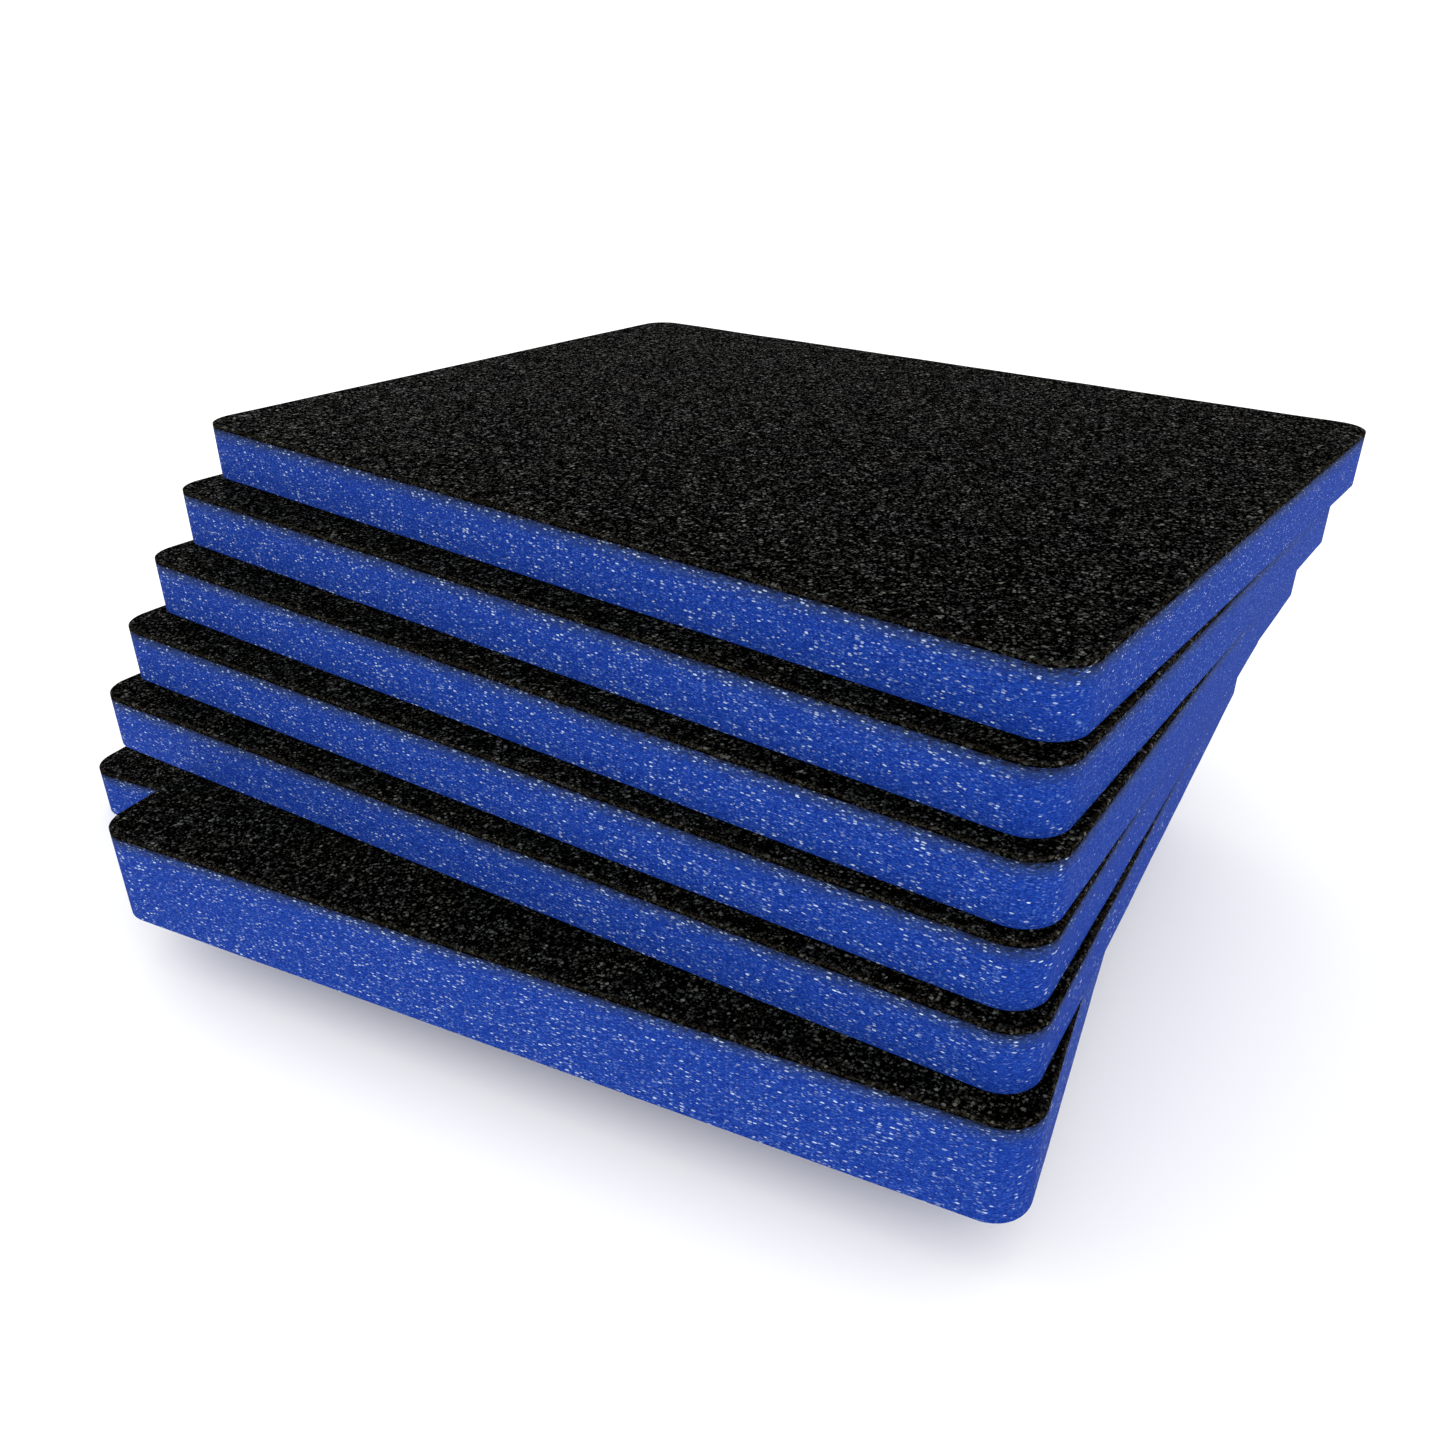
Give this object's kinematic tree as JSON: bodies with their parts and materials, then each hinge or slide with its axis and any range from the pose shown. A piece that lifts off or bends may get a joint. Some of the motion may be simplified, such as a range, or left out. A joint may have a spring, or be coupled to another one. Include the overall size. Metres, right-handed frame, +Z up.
{
  "type": "stack of foam blocking mats",
  "caption": "Fanned stack of loose rectangular two-tone foam mats with rounded corners, a thin dark skin on a thick blue core; each mat lifts off the one below.",
  "frame": {"origin": "centre of the underside of the lowest mat, on the surface that the stack rests on", "axes": "+Z up through the stack, +X along the lowest mat's long edge, +Y along its short edge, away from the side that the upper mats step out over"},
  "size_m": [0.665, 0.5578, 0.2306],
  "materials": {
    "core_foam": "matt closed-cell polyethylene foam, saturated cobalt blue with pale flecks, cut edges",
    "skin_foam": "matt closed-cell polyethylene foam, near black with fine grey and tan flecks"
  },
  "bodies": {
    "mat_1": {"mat_1_core": "core_foam", "mat_1_skin": "skin_foam"},
    "mat_2": {"mat_2_core": "core_foam", "mat_2_skin": "skin_foam"},
    "mat_3": {"mat_3_core": "core_foam", "mat_3_skin": "skin_foam"},
    "mat_4": {"mat_4_core": "core_foam", "mat_4_skin": "skin_foam"},
    "mat_5": {"mat_5_core": "core_foam", "mat_5_skin": "skin_foam"},
    "mat_6": {"mat_6_core": "core_foam", "mat_6_skin": "skin_foam"},
    "mat_7": {"mat_7_core": "core_foam", "mat_7_skin": "skin_foam"}
  },
  "joints": [
    {"name": "mat_2_lift", "type": "slide", "parent": "mat_1", "child": "mat_2", "axis": [0, 0, 1], "range_m": [0, 0.06]},
    {"name": "mat_3_lift", "type": "slide", "parent": "mat_2", "child": "mat_3", "axis": [0, 0, 1], "range_m": [0, 0.06]},
    {"name": "mat_4_lift", "type": "slide", "parent": "mat_3", "child": "mat_4", "axis": [0, 0, 1], "range_m": [0, 0.06]},
    {"name": "mat_5_lift", "type": "slide", "parent": "mat_4", "child": "mat_5", "axis": [0, 0, 1], "range_m": [0, 0.06]},
    {"name": "mat_6_lift", "type": "slide", "parent": "mat_5", "child": "mat_6", "axis": [0, 0, 1], "range_m": [0, 0.06]},
    {"name": "mat_7_lift", "type": "slide", "parent": "mat_6", "child": "mat_7", "axis": [0, 0, 1], "range_m": [0, 0.06]}
  ]
}
